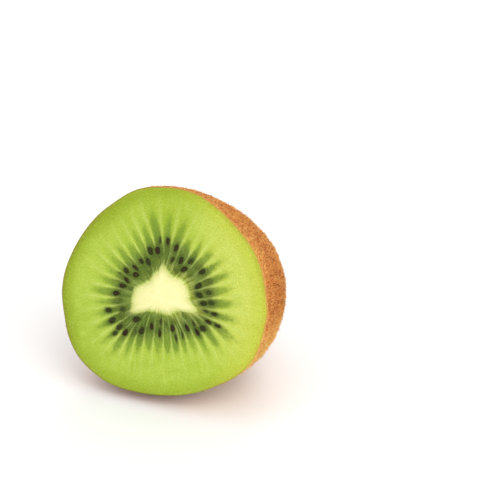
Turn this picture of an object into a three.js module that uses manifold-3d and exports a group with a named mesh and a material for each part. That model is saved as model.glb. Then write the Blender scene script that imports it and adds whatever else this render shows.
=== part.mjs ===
// Half of a kiwi fruit, cut across at its widest and lying on its side.
// Millimetres, +Z up. The cut face looks toward -Y and leans back, the rounded
// stem end points toward +Y and down a little, and the belly underneath has a
// small flat spot that the half rests on. One closed solid: skin, flesh, core
// and seeds are one piece of fruit.
import * as THREE from 'three';
import { mergeVertices } from 'three/addons/utils/BufferGeometryUtils.js';
import Module from 'manifold-3d';

// ---- driving dimensions ----------------------------------------------------
const FACE_RADIUS = 26.0;        // mean radius of the cut face
const HALF_LENGTH = 35.7;        // from the cut plane to the stem end
const LEAN_DEG = 18.0;           // how far the cut face leans back from upright
const RIM_ROUND = 0.8;           // soft edge between cut face and skin
const FLAT_DEPTH = 1.2;          // how much of the belly the resting spot takes off
// cut outline, radius = FACE_RADIUS * (1 + sum of these waves round the face)
const OVAL = 0.0335;             // wider than tall
const WAVES_COS = { 3: 0.0188, 4: -0.0020, 5: -0.0055 };
const WAVES_SIN = { 2: 0.0225, 3: -0.0247, 4: 0.0020, 5: 0.0024 };
// profile from face to stem end: radius share = (1 - s^fullness)^(1 / SHOULDER)
const SHOULDER = 2.1745;
const FULLNESS = 2.2836;
const FULL_COS = { 1: 0.0870, 2: 0.0791 };
const FULL_SIN = { 1: -0.0225, 2: 0.1916 };
const BELLY = 0.45;              // extra fullness underneath
// cut face relief
const CORE_RADIUS = 6.9;         // woody pale core, a rounded triangle
const CORE_LOBES = 1.3;
const CORE_TURN_DEG = 98;
const CORE_CENTRE = [0.8, -0.4];
const CORE_HEIGHT = 0.22;        // core stands proud of the flesh
const SEED_RING_RADIUS = 11.2;   // middle of the sunken ring of seed pockets
const SEED_RING_WIDTH = 3.4;
const SEED_RING_DEPTH = 0.35;
// stem end: a shallow dimple, a raised scar ring, a groove and a button in it
const DIMPLE_RADIUS = 11.0;
const DIMPLE_DEPTH = 1.3;
const SCAR_RADIUS = 6.7;
const SCAR_HEIGHT = 0.6;
const SCAR_WIDTH = 1.15;
const GROOVE_RADIUS = 4.9;
const GROOVE_DEPTH = 0.6;
const GROOVE_WIDTH = 0.75;
const BUTTON_RADIUS = 3.4;
const BUTTON_HEIGHT = 0.55;
// mesh density
const SEGMENTS = 84;
const BODY_RINGS = 20;

const rad = THREE.MathUtils.degToRad;
const bump = (x, width) => Math.exp(-((x / width) ** 2));

// ---- outline and profile ---------------------------------------------------
function waves(phi, base, cosTerms, sinTerms) {
  let sum = base;
  for (const [k, a] of Object.entries(cosTerms)) sum += a * Math.cos(Number(k) * phi);
  for (const [k, a] of Object.entries(sinTerms)) sum += a * Math.sin(Number(k) * phi);
  return sum;
}

function outlineRadius(phi) {
  return FACE_RADIUS * waves(phi, 1 + OVAL * Math.cos(2 * phi), WAVES_COS, WAVES_SIN);
}

function fullness(phi) {
  const under = Math.max(0, -Math.sin(phi)) ** 1.5;
  return waves(phi, FULLNESS, FULL_COS, FULL_SIN) + BELLY * under;
}

// depth behind the cut plane at which the body has shrunk to this share of its outline
function depthAtShare(share, phi) {
  return HALF_LENGTH * (1 - share ** SHOULDER) ** (1 / fullness(phi));
}

// raised (+) or sunken (-) height of the stem end at a distance from its middle
function stemRelief(r) {
  const dimple = -DIMPLE_DEPTH * bump(r, DIMPLE_RADIUS * 0.62);
  const ring = SCAR_HEIGHT * bump(r - SCAR_RADIUS, SCAR_WIDTH);
  const groove = -GROOVE_DEPTH * bump(r - GROOVE_RADIUS, GROOVE_WIDTH);
  const button = BUTTON_HEIGHT * bump(r, BUTTON_RADIUS * 0.8);
  return dimple + ring + groove + button;
}

// raised (+) or sunken (-) height of the cut face
function faceRelief(v, w) {
  const x = v - CORE_CENTRE[0], y = w - CORE_CENTRE[1];
  const r = Math.hypot(x, y), phi = Math.atan2(y, x);
  const core = CORE_RADIUS + CORE_LOBES * Math.cos(3 * (phi - rad(CORE_TURN_DEG)));
  const proud = CORE_HEIGHT / (1 + Math.exp((r - core) / 0.45));
  const ring = -SEED_RING_DEPTH * bump(r - SEED_RING_RADIUS, SEED_RING_WIDTH);
  return proud + ring;
}

// ---- closed surface --------------------------------------------------------
// Each ring is a function of phi giving (v, w, u): across, up and behind the cut plane.
function faceRings() {
  const shares = [0.07, 0.14, 0.20, 0.25, 0.30, 0.36, 0.43, 0.51, 0.61, 0.74, 0.88];
  return shares.map((share) => (phi) => {
    const r = share * (outlineRadius(phi) - RIM_ROUND);
    const v = r * Math.cos(phi), w = r * Math.sin(phi);
    return [v, w, -faceRelief(v, w)];
  });
}

function rimRings() {
  return [0, 30, 60].map((deg) => (phi) => {
    const r = outlineRadius(phi) - RIM_ROUND * (1 - Math.sin(rad(deg)));
    return [r * Math.cos(phi), r * Math.sin(phi), RIM_ROUND * (1 - Math.cos(rad(deg)))];
  });
}

function bodyShares() {
  const shares = [];
  const start = 0.21;                       // first ring just behind the soft edge
  for (let i = 0; i < BODY_RINGS; i++) {
    const t = start + (Math.PI / 2 - start) * (i / BODY_RINGS);
    const share = Math.cos(t) ** (2 / SHOULDER);
    if (share * FACE_RADIUS > 9.4) shares.push(share);
  }
  for (const r of [8.6, 7.8, 7.2, 6.7, 6.1, 5.5, 4.9, 4.2, 3.4, 2.3, 1.1]) shares.push(r / FACE_RADIUS);
  return shares;
}

function bodyRings() {
  return bodyShares().map((share) => (phi) => {
    const u = depthAtShare(share, phi);
    const r = share * outlineRadius(phi);
    return [r * Math.cos(phi), r * Math.sin(phi), u + stemRelief(share * FACE_RADIUS)];
  });
}

function fruitGeometry() {
  const rings = [...faceRings(), ...rimRings(), ...bodyRings()];
  const lean = rad(LEAN_DEG), cosL = Math.cos(lean), sinL = Math.sin(lean);
  const points = [];
  const put = ([v, w, u]) => points.push(v, u * cosL + w * sinL, -u * sinL + w * cosL);
  put([0, 0, -faceRelief(0, 0)]);
  for (const ring of rings) {
    for (let j = 0; j < SEGMENTS; j++) put(ring((2 * Math.PI * j) / SEGMENTS));
  }
  put([0, 0, HALF_LENGTH + stemRelief(0)]);
  const last = points.length / 3 - 1;
  const at = (i, j) => 1 + i * SEGMENTS + (j % SEGMENTS);
  const index = [];
  for (let j = 0; j < SEGMENTS; j++) {
    index.push(0, at(0, j), at(0, j + 1));
    for (let i = 0; i + 1 < rings.length; i++) {
      index.push(at(i, j), at(i + 1, j), at(i + 1, j + 1));
      index.push(at(i, j), at(i + 1, j + 1), at(i, j + 1));
    }
    index.push(last, at(rings.length - 1, j + 1), at(rings.length - 1, j));
  }
  const geometry = new THREE.BufferGeometry();
  geometry.setAttribute('position', new THREE.Float32BufferAttribute(points, 3));
  geometry.setIndex(index);
  return geometry;
}

// ---- resting spot ----------------------------------------------------------
const wasm = await Module();
wasm.setup();

function toManifold(geometry) {
  const g = geometry.clone();
  g.deleteAttribute('normal');
  g.deleteAttribute('uv');
  const merged = mergeVertices(g, 1e-5);
  return new wasm.Manifold(new wasm.Mesh({
    numProp: 3,
    vertProperties: new Float32Array(merged.attributes.position.array),
    triVerts: new Uint32Array(merged.index.array),
  }));
}

function fromManifold(solid) {
  const mesh = solid.getMesh();
  const g = new THREE.BufferGeometry();
  g.setAttribute('position', new THREE.BufferAttribute(new Float32Array(mesh.vertProperties), 3));
  g.setIndex(new THREE.BufferAttribute(new Uint32Array(mesh.triVerts), 1));
  return g;
}

const whole = fruitGeometry();
whole.computeBoundingBox();
const lowest = whole.boundingBox.min.z;
const slab = new THREE.BoxGeometry(90, 90, 20);
slab.translate(0, 10, lowest + FLAT_DEPTH - 10);
const geometry = fromManifold(toManifold(whole).subtract(toManifold(slab)));

// origin at the middle of the base of the bounding box
geometry.computeBoundingBox();
const box = geometry.boundingBox;
geometry.translate(-(box.min.x + box.max.x) / 2, -(box.min.y + box.max.y) / 2, -box.min.z);
geometry.computeVertexNormals();

const fruit = new THREE.Mesh(geometry, new THREE.MeshStandardMaterial({
  name: 'flesh', color: new THREE.Color(0.55, 0.72, 0.18), roughness: 0.4, metalness: 0,
}));
fruit.name = 'fruit_half';

const group = new THREE.Group();
group.name = 'kiwi_fruit_half';
group.add(fruit);

export default group;
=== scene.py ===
import math

import bpy
import numpy as np
from mathutils import Matrix, Vector
from mathutils.kdtree import KDTree


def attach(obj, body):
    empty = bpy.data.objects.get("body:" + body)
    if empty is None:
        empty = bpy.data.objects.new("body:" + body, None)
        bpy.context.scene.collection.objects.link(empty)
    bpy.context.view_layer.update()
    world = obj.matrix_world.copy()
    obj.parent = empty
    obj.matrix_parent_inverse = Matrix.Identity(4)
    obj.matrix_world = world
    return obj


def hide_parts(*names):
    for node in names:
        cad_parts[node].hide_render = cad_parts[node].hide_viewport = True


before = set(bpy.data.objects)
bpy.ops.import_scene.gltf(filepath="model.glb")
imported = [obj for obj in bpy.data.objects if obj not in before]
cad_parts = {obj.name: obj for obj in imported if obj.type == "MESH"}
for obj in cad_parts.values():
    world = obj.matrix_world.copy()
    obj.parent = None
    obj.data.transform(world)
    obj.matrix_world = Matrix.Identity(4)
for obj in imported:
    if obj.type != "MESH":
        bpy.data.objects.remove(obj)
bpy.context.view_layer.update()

rng = np.random.default_rng(20)

# ---- the fruit's form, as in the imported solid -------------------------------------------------
FACE_RADIUS, HALF_LENGTH, LEAN = 26.0, 35.7, math.radians(18.0)
OVAL = 0.0335
WAVES_COS = {3: 0.0188, 4: -0.0020, 5: -0.0055}
WAVES_SIN = {2: 0.0225, 3: -0.0247, 4: 0.0020, 5: 0.0024}
SHOULDER, FULLNESS, BELLY = 2.1745, 2.2836, 0.45
FULL_COS = {1: 0.0870, 2: 0.0791}
FULL_SIN = {1: -0.0225, 2: 0.1916}
FACE_CENTRE = (-0.2742, -13.9384, 26.0929)     # middle of the cut plane in the frame
COS_L, SIN_L = math.cos(LEAN), math.sin(LEAN)


def waves(phi, base, cos_terms, sin_terms):
    out = base
    for k, a in cos_terms.items():
        out = out + a * np.cos(k * phi)
    for k, a in sin_terms.items():
        out = out + a * np.sin(k * phi)
    return out


def outline(phi):
    return FACE_RADIUS * waves(phi, 1 + OVAL * np.cos(2 * phi), WAVES_COS, WAVES_SIN)


def fullness(phi):
    return waves(phi, FULLNESS, FULL_COS, FULL_SIN) + BELLY * np.clip(-np.sin(phi), 0, 1) ** 1.5


def bump(x, width):
    return np.exp(-((x / width) ** 2))


def smooth(a, b, x):
    t = np.clip((x - a) / (b - a), 0, 1)
    return t * t * (3 - 2 * t)


def closed_curve(table, phi_deg):
    """Smooth closed curve through (degrees, value) pairs."""
    a = np.array([t[0] for t in table], float)
    y = np.array([t[1] for t in table], float)
    a3 = np.concatenate([a - 360, a, a + 360])
    y3 = np.tile(y, 3)
    m = np.gradient(y3, a3)
    k = np.clip(np.searchsorted(a3, phi_deg) - 1, 0, len(a3) - 2)
    h = a3[k + 1] - a3[k]
    t = (phi_deg - a3[k]) / h
    return ((2 * t ** 3 - 3 * t ** 2 + 1) * y3[k] + (t ** 3 - 2 * t ** 2 + t) * h * m[k]
            + (-2 * t ** 3 + 3 * t ** 2) * y3[k + 1] + (t ** 3 - t ** 2) * h * m[k + 1])


# Where the cut's own edge leaves that plain outline: degrees and millimetres outward.
EDGE_SHIFT = [(0, 0.15), (12, -0.22), (22, -0.10), (33, 0.10), (48, 0.0), (60, 0.25), (66, 0.40), (75, 0.60), (84, 0.40),
              (94, 0.0), (112, 0.0), (128, -0.25), (140, 0.0), (165, 0.0), (188, 0.0), (201, -0.40), (212, 0.0), (222, 0.15),
              (234, -0.10), (246, -0.20), (258, -0.40), (270, -0.25), (282, -0.10), (294, -0.12), (302, -0.28), (312, -0.45),
              (324, 0.0), (336, 0.42), (346, 0.28), (354, 0.05)]


def cut_outline(phi):
    return outline(phi) + closed_curve(EDGE_SHIFT, np.degrees(phi) % 360)


def around(deg, middle):
    """Degrees from a direction, -180 to 180."""
    return (deg - middle + 180) % 360 - 180


def stem_dimple(r):
    return -1.3 * bump(r, 6.82)


def body(share, phi):
    """(v, w, u) of the plain body where it has shrunk to this share of its outline."""
    u = HALF_LENGTH * np.clip(1 - share ** SHOULDER, 0, 1) ** (1 / fullness(phi))
    r = share * outline(phi) + (cut_outline(phi) - outline(phi)) * smooth(7.0, 0.0, u)
    flank = bump(around(np.degrees(phi), 316), 13)
    r = r - 0.42 * flank * smooth(0.0, 3.0, u) * smooth(22.0, 9.0, u)
    return r * np.cos(phi), r * np.sin(phi), u + stem_dimple(share * FACE_RADIUS)


def to_frame(v, w, u):
    x = v + FACE_CENTRE[0]
    y = u * COS_L + w * SIN_L + FACE_CENTRE[1]
    z = -u * SIN_L + w * COS_L + FACE_CENTRE[2]
    return np.stack([x, y, z], -1) * 0.001


# ---- smooth noise on arrays of points ---------------------------------------------------------
def _hash(ix, iy, iz, seed):
    m = np.uint64(0xFFFFFFFF)
    h = (ix.astype(np.int64) * 374761393 + iy.astype(np.int64) * 668265263
         + iz.astype(np.int64) * 1440662683 + seed * 1274126177).astype(np.uint64) & m
    h = ((h ^ (h >> np.uint64(13))) * np.uint64(1274126177)) & m
    h = ((h ^ (h >> np.uint64(16))) * np.uint64(2246822519)) & m
    return (h ^ (h >> np.uint64(13))) & m


def noise3(p, seed=0):
    """Gradient noise, about -1 to 1, at points p (n, 3)."""
    i = np.floor(p).astype(np.int64)
    f = p - i
    s = f * f * f * (f * (f * 6 - 15) + 10)
    out = np.zeros(len(p))
    for dx in (0, 1):
        for dy in (0, 1):
            for dz in (0, 1):
                h = _hash(i[:, 0] + dx, i[:, 1] + dy, i[:, 2] + dz, seed)
                a = (h & np.uint64(0xFFFF)).astype(float) * (2 * math.pi / 65536)
                c = ((h >> np.uint64(16)) & np.uint64(0xFFFF)).astype(float) / 32768 - 1
                q = np.sqrt(1 - c * c)
                g = (q * np.cos(a) * (f[:, 0] - dx) + q * np.sin(a) * (f[:, 1] - dy)
                     + c * (f[:, 2] - dz))
                wgt = ((s[:, 0] if dx else 1 - s[:, 0]) * (s[:, 1] if dy else 1 - s[:, 1])
                       * (s[:, 2] if dz else 1 - s[:, 2]))
                out += wgt * g
    return out * 1.6


def fractal(p, octaves, seed=0, gain=0.5):
    out, amp = np.zeros(len(p)), 1.0
    for k in range(octaves):
        out += amp * noise3(p * (2.03 ** k) + 17.3 * k, seed + k)
        amp *= gain
    return out


# ---- meshes -----------------------------------------------------------------------------------
def build_mesh(name, verts, quads=None, tris=None):
    me = bpy.data.meshes.new(name)
    quads = np.zeros((0, 4), np.int32) if quads is None else np.asarray(quads, np.int32)
    tris = np.zeros((0, 3), np.int32) if tris is None else np.asarray(tris, np.int32)
    me.vertices.add(len(verts))
    me.vertices.foreach_set("co", np.asarray(verts, np.float32).ravel())
    me.loops.add(quads.size + tris.size)
    me.loops.foreach_set("vertex_index", np.concatenate([quads.ravel(), tris.ravel()]))
    me.polygons.add(len(quads) + len(tris))
    starts = np.concatenate([np.arange(len(quads)) * 4, quads.size + np.arange(len(tris)) * 3])
    me.polygons.foreach_set("loop_start", starts.astype(np.int32))
    me.polygons.foreach_set("use_smooth", np.ones(len(quads) + len(tris), bool))
    me.update(calc_edges=True)
    me.validate()
    obj = bpy.data.objects.new(name, me)
    bpy.context.scene.collection.objects.link(obj)
    return obj


def revolve_faces(n_rings, n_seg, first, last, flip=False):
    """Faces of a stack of closed rings whose vertices follow index 0, with a pole at each end."""
    i, j = np.meshgrid(np.arange(n_rings - 1), np.arange(n_seg), indexing="ij")
    a = 1 + i * n_seg + j
    b = 1 + i * n_seg + (j + 1) % n_seg
    quads = np.stack([a, a + n_seg, b + n_seg, b], -1).reshape(-1, 4)
    j = np.arange(n_seg)
    top = np.stack([np.full(n_seg, first), 1 + j, 1 + (j + 1) % n_seg], -1)
    base = 1 + (n_rings - 1) * n_seg
    bottom = np.stack([np.full(n_seg, last), base + (j + 1) % n_seg, base + j], -1)
    tris = np.concatenate([top, bottom])
    if flip:
        quads, tris = quads[:, ::-1], tris[:, ::-1]
    return quads, tris


def attribute(obj, name, values):
    values = np.asarray(values, np.float32)
    kind = "FLOAT" if values.ndim == 1 else "FLOAT_VECTOR"
    key = "value" if values.ndim == 1 else "vector"
    obj.data.attributes.new(name, kind, "POINT").data.foreach_set(key, values.ravel())


# ---- pattern of the cut face ------------------------------------------------------------------
# Walls between the seed pockets: direction in degrees at 9, 13 and 18 mm from the middle.
WALLS = [
    (5.0, 7.8, 10.0), (18.5, 20.1, 21.3), (28.5, 29.8, 32.6), (39.5, 41.3, 43.4), (50.2, 52.3, 54.0),
    (60.5, 62.2, 65.0), (75.0, 75.0, 72.5), (86.5, 85.5, 85.0), (96.0, 96.6, 98.0), (104.5, 106.3, 110.0),
    (117.5, 118.0, 119.3), (126.8, 127.5, 128.7), (140.4, 139.6, 137.6), (152.4, 150.6, 148.0),
    (163.0, 161.5, 158.6), (172.8, 171.0, 169.2), (181.8, 181.6, 180.8), (194.0, 192.2, 190.7),
    (200.5, 201.4, 199.8), (209.0, 209.6, 210.0), (219.0, 219.2, 220.3), (227.5, 228.8, 230.1),
    (233.0, 236.3, 240.3), (239.0, 245.2, 250.6), (249.8, 256.3, 260.5), (265.0, 267.3, 269.2),
    (280.4, 279.4, 279.0), (292.2, 289.9, 289.3), (303.2, 299.8, 296.8), (313.2, 309.2, 305.8),
    (325.0, 319.2, 315.5), (337.0, 330.4, 325.6), (343.5, 340.6, 336.2), (347.6, 347.0, 347.6),
    (353.6, 356.4, 358.6),
]
# How far out the green of each pocket reaches, from the pocket after the first wall round.
POCKET_TIPS = [18.8, 19.4, 19.0, 18.0, 17.8, 16.2, 20.4, 21.0, 21.0, 19.2, 18.0, 15.6, 17.2, 17.4, 17.0, 17.6,
               19.0, 19.0, 19.0, 19.8, 20.6, 20.6, 18.8, 16.8, 14.3, 14.8, 14.4, 15.2, 16.0, 16.0, 19.0, 20.2,
               21.8, 21.2, 20.0]
# Core: corners of its rounded outline, degrees and millimetres from the middle.
CORE = [(0, 7.5), (8, 7.3), (18, 7.2), (28, 7.0), (38, 6.8), (48, 6.5), (56, 6.1), (64, 5.7), (72, 5.65), (80, 5.95),
        (86, 6.4), (91, 7.0), (97, 7.1), (103, 6.1), (110, 5.6), (120, 5.2), (128, 4.75), (138, 4.5), (146, 4.9),
        (154, 5.1), (162, 5.6), (169, 6.3), (176, 6.9), (184, 7.1), (192, 7.6), (200, 7.9), (208, 8.1), (215, 8.8),
        (220, 8.3), (227, 6.4), (234, 5.1), (241, 4.7), (250, 4.15), (262, 4.15), (274, 4.0), (284, 4.2), (292, 4.3),
        (300, 4.7), (308, 4.95), (316, 4.9), (324, 5.2), (330, 5.3), (335, 6.1), (339, 7.2), (343, 8.5), (348, 9.35),
        (353, 9.0), (356, 8.3)]
# How gradually the core's colour runs out: degrees and a factor. Its three corners are the softest.
CORE_SOFT = [(10, 1.0), (45, 1.05), (70, 0.85), (84, 1.1), (94, 2.3), (104, 1.6), (118, 1.25), (130, 1.0), (146, 1.35),
             (160, 1.05), (174, 1.5), (186, 1.3), (202, 1.1), (213, 2.1), (222, 3.1), (230, 1.8), (240, 0.95), (270, 0.95),
             (300, 1.1), (326, 1.0), (335, 1.9), (342, 2.7), (349, 1.8), (356, 1.2)]
# How far out the dark green zone round the core reaches, degrees and millimetres.
DARK_REACH = [(0, 13.4), (20, 13.2), (40, 12.6), (60, 12.2), (80, 12.8), (100, 12.2), (120, 10.6), (140, 10.6), (160, 11.4),
              (180, 12.0), (200, 12.6), (215, 13.6), (232, 13.2), (250, 10.8), (270, 9.2), (290, 9.0), (308, 10.6),
              (325, 12.6), (340, 13.8), (350, 13.8)]
# Seeds: direction, distance, length, width, turn from the radial line in degrees, and how much shows.
SEEDS = [
    (1.0, 10.9, 2.1, 1.15, 8, .9), (3.4, 12.9, 2.0, 1.3, -5, .65), (11.8, 9.7, 2.1, 1.2, -22, 1), (14.3, 12.2, 2.0, 1.25, -10, .5),
    (23.7, 10.0, 2.1, 1.15, 14, .9), (25.5, 12.5, 2.3, 1.1, 0, .35), (37.8, 12.3, 2.0, 1.35, -8, 1), (41.8, 9.3, 1.5, .7, -10, .3),
    (44.8, 11.9, 1.4, .8, 0, .35), (56.2, 8.8, 2.1, 1.25, -24, 1), (56.0, 11.4, 2.0, 1.15, -6, .7), (67.0, 9.9, 2.2, 1.25, 10, 1),
    (62.8, 7.5, 1.4, .8, -12, .25), (79.4, 9.1, 1.8, .85, -16, .8), (79.5, 12.1, 2.1, 1.1, -6, .85), (90.3, 12.9, 2.1, .9, 6, .85),
    (102.7, 10.6, 2.1, 1.4, 6, 1), (113.0, 10.8, 2.2, 1.35, 10, 1), (99.2, 13.0, 1.9, .7, -6, .55), (121.6, 8.5, 2.1, 1.3, 4, 1),
    (131.0, 9.3, 1.8, .95, 12, .85), (127.3, 6.3, 1.3, .9, 0, .2), (145.3, 9.2, 2.2, .95, 6, .8), (152.3, 8.1, 1.9, 1.3, 30, .9),
    (156.8, 10.6, 2.0, 1.15, -16, .9), (168.2, 9.7, 1.9, .95, -24, .85), (164.4, 11.8, 1.3, .75, 0, .4), (177.6, 10.4, 2.1, 1.1, 6, .95),
    (178.8, 8.4, 1.3, .7, 0, .2), (187.3, 11.8, 2.2, 1.2, 6, .95), (196.5, 11.6, 2.0, 1.2, 0, .3), (208.3, 10.8, 1.9, 1.2, 0, .55),
    (204.4, 14.6, 1.9, 1.25, -20, .95), (214.3, 14.6, 2.2, 1.3, 8, 1), (215.2, 12.0, 1.7, 1.1, 0, .3), (223.7, 13.6, 2.1, 1.15, 0, .9),
    (225.8, 15.6, 1.6, 1.0, 0, .7), (230.0, 8.9, 2.1, 1.35, -28, 1), (231.9, 13.2, 2.2, 1.3, 8, 1), (239.4, 11.3, 2.0, 1.1, 10, .4),
    (246.3, 10.0, 2.2, 1.35, 6, 1), (258.0, 7.8, 2.0, 1.0, 16, .95), (275.0, 8.8, 2.2, .8, 0, .9), (276.2, 6.2, 1.6, .75, 0, .6),
    (299.2, 7.9, 2.1, 1.0, -16, .9), (299.0, 10.4, 1.9, .6, -10, .7), (309.2, 10.5, 1.8, .6, -20, .6), (320.3, 9.9, 2.1, 1.05, -12, .95),
    (326.6, 12.4, 2.1, 1.05, -16, .95), (331.6, 10.3, 1.7, .6, -22, .7), (333.6, 12.8, 2.0, 1.45, 24, .95), (336.4, 11.3, 1.3, .6, -16, .4),
    (343.4, 13.4, 2.0, 1.0, 4, .95), (344.4, 15.8, 1.9, .95, 4, .8), (352.8, 12.0, 1.6, .65, 0, .6), (353.0, 14.2, 1.8, .95, 6, .85),
    (330.5, 7.4, 1.5, .6, -20, .35), (287.0, 6.9, 1.3, .6, 0, .2), (69.5, 7.4, 1.2, .6, 0, .15), (307.0, 7.0, 1.2, .6, -10, .2),
]
WALLS = np.array(WALLS)
POCKET_TIPS = np.array(POCKET_TIPS)


def face_pattern(v, w):
    """Masks of the cut face at points (v, w): a dict of arrays, and lengths in mm."""
    r = np.hypot(v, w)
    phi = np.degrees(np.arctan2(w, v)) % 360
    pts = np.stack([v, w, np.zeros_like(v)], -1)
    ring = np.stack([np.cos(np.radians(phi)), np.sin(np.radians(phi)), np.zeros_like(phi)], -1)
    one = np.ones_like(r)
    # walls: where each one is at this distance from the middle
    wobble = 0.45 * noise3(np.stack([ring[:, 0] * 4, ring[:, 1] * 4, r * 0.35], -1), 5)
    t1 = np.clip((r - 9) / 4, -0.75, 1)
    t2 = np.clip((r - 13) / 5, 0, 1.5)
    ang = (WALLS[:, 0][None] + (WALLS[:, 1] - WALLS[:, 0])[None] * t1[:, None]
           + (WALLS[:, 2] - WALLS[:, 1])[None] * t2[:, None]) + wobble[:, None]
    diff = (phi[:, None] - ang + 180) % 360 - 180
    after = np.where(diff >= 0, diff, 1e3)
    before = np.where(diff < 0, -diff, 1e3)
    k0 = after.argmin(1)
    k1 = before.argmin(1)
    a = np.minimum(after[np.arange(len(r)), k0], 40)
    b = np.minimum(before[np.arange(len(r)), k1], 40)
    cell = np.radians(a + b) * r                      # pocket width in mm
    x = np.radians(np.minimum(a, b)) * r              # distance to the nearest wall in mm
    frac = a / (a + b)
    off = np.abs(frac - 0.5) * 2                      # 0 in the pocket's middle, 1 on a wall
    near = np.where(a < b, k0, k1)
    # direction that follows the lean of the walls, for the fibres
    turn = 2 * np.pi * (k0 + frac) / len(WALLS)
    flow = np.stack([np.cos(turn), np.sin(turn)], -1)

    def fibres(lines, stretch, seed):
        k = lines / (2 * np.pi)
        return noise3(np.stack([flow[:, 0] * k, flow[:, 1] * k, r * stretch], -1), seed)

    # outline of the core, a little ragged
    rc = closed_curve(CORE, phi)
    rc = rc + 0.20 * fractal(ring * 7, 3, 31)
    d = r - rc                                        # distance outside the core
    fib1, fib2, fib3 = fibres(88, 0.16, 40), fibres(150, 0.24, 47), fibres(230, 0.35, 49)
    d_soft = d + 0.08 - 0.34 * np.clip(fib1 + 0.7 * fib2, -0.8, 1.0) * smooth(2.2, 0, np.abs(d)) + 0.16 * noise3(pts * 2.6, 34)
    soft_edge = closed_curve(CORE_SOFT, phi)
    core = smooth(0.95, -0.85, d_soft / soft_edge)
    # dark green zone between the core and the ends of the seeds
    reach_in = closed_curve(DARK_REACH, phi)
    inner = smooth(-0.3, 1.3, d_soft) * smooth(reach_in + 2.0, reach_in - 1.2, r + 0.6 * fib1 + 0.5 * noise3(pts * 0.8, 36))
    # pockets: wedges of green that narrow and fade outward, each in its own way
    tip = POCKET_TIPS[k0] + 0.5 * noise3(np.stack([flow[:, 0] * 12, flow[:, 1] * 12, r * 0.1], -1), 9)
    power = 0.95 + 0.85 * (0.5 + 0.5 * np.sin(k0 * 2.399 + 1.0))
    t = np.clip((r - 11.0) / np.maximum(tip - 11.0, 1.5), 0, 1.5)
    h = 0.96 * np.clip(1 - np.clip(t / 1.12, 0, 1) ** power, 0, 1) ** 0.95
    rag = 0.20 * noise3(pts * 1.3, 14) + 0.16 * noise3(pts * 3.0, 15) + 0.20 * fib1 + 0.12 * fib2
    soft = 0.22 + 0.66 * np.clip(t, 0, 1)
    cover = smooth(-soft, soft, (h - off + rag * (0.4 + 0.6 * np.clip(t, 0, 1))) * cell / 2)
    pocket = cover * smooth(1.18, 0.62, t + 0.12 * noise3(pts * 0.9, 16)) * smooth(-0.1, 0.7, d)
    # some pockets are paler than others: deeper above, to the right and at the lower right
    ph = np.radians(phi)
    toward = lambda deg, spread: bump((phi - deg + 180) % 360 - 180, spread)
    depth = (0.85 + 0.06 * np.cos(ph - 0.3) + 0.06 * np.cos(2 * (ph - 1.45)) + 0.10 * np.sin(k0 * 1.7 + 0.4)
             + 0.13 * toward(208, 30) - 0.13 * toward(286, 26) + 0.12 * toward(342, 18) - 0.14 * toward(319, 7)
             + 0.12 * toward(228, 9) + 0.07 * toward(38, 11))
    pocket = pocket * np.clip(depth, 0.5, 1.0)
    tone = (t + 0.30 * toward(286, 30) + 0.20 * toward(134, 38) + 0.14 * toward(20, 7) + 0.14 * toward(57, 11)
            + 0.16 * toward(250, 9) + 0.26 * toward(319, 8) - 0.12 * toward(194, 10) + 0.06 * toward(331, 5)
            - 0.26 * toward(38, 11) - 0.07 * toward(60, 9) - 0.50 * toward(228, 9) - 0.36 * toward(341, 15))
    tone = np.clip(tone, 0, 1)                        # the short pockets below are fresher green
    # walls: faint beside the core unless right or below it, clear in the middle, wide and pale further out
    inward = np.maximum(smooth(0.1, 0.6, np.cos(ph)), 0.8 * toward(285, 24))
    from_r = 8.0 + 2.6 * toward(90, 26)
    fade_in = inward + (1 - inward) * smooth(from_r, from_r + 4.5, r)
    above = toward(88, 17)
    strength = 0.62 + 0.55 * noise3(np.stack([near * 1.7, r * 0.22, 0 * r], -1), 12)
    width = 0.13 + 0.036 * np.clip(r - 8, 0, 12) + 0.04 * noise3(np.stack([near * 3.1, r * 0.5, one], -1), 17)
    reach = tip + 2.6 + 1.8 * noise3(np.stack([near * 2.3, 0 * r, one], -1), 13)
    wall = bump(x, width) * np.clip(strength, 0.10, 1.0) * smooth(0.2, 3.4, d) * fade_in * smooth(reach + 1.5, reach - 6.0, r)
    # pale rays in the outer flesh, along the walls and between them
    ray = fibres(70, 0.07, 60) + 0.7 * fibres(130, 0.10, 61)
    broad = smooth(-0.1, 0.9, fibres(36, 0.05, 62)) * smooth(13, 17, r)
    rays = np.clip(0.50 * bump(x, 0.30 + 0.06 * np.clip(r - 12, 0, 10)) + 0.62 * smooth(0.10, 0.95, ray) + 0.42 * broad, 0, 1)
    rays = rays * smooth(11.5, 15.5, r) * smooth(24.0, 18.0, r + 1.2 * fib1) * (1 - 0.60 * above - 0.25 * toward(345, 16))
    fibre = np.clip(0.5 + 0.60 * fib1 + 0.52 * fib2 + 0.46 * fib3, 0, 1)
    # the thin pale line in each wall's middle
    clear = 0.62 + 0.62 * noise3(np.stack([near * 2.9, r * 0.16, one * 3], -1), 21)
    lines = np.clip(clear, 0.12, 1.0) * smooth(0.2, 2.6, d) * fade_in * smooth(tip + 4.2, tip - 1.8, r) * (1 - 0.40 * above)
    phase = 2 * np.pi * frac
    # the core's corners run out gradually
    corner = np.clip((soft_edge - 1.0) / 1.4, 0, 1) * smooth(-2.9, 0.1, d_soft) * smooth(1.6, 0.0, d_soft)
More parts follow.
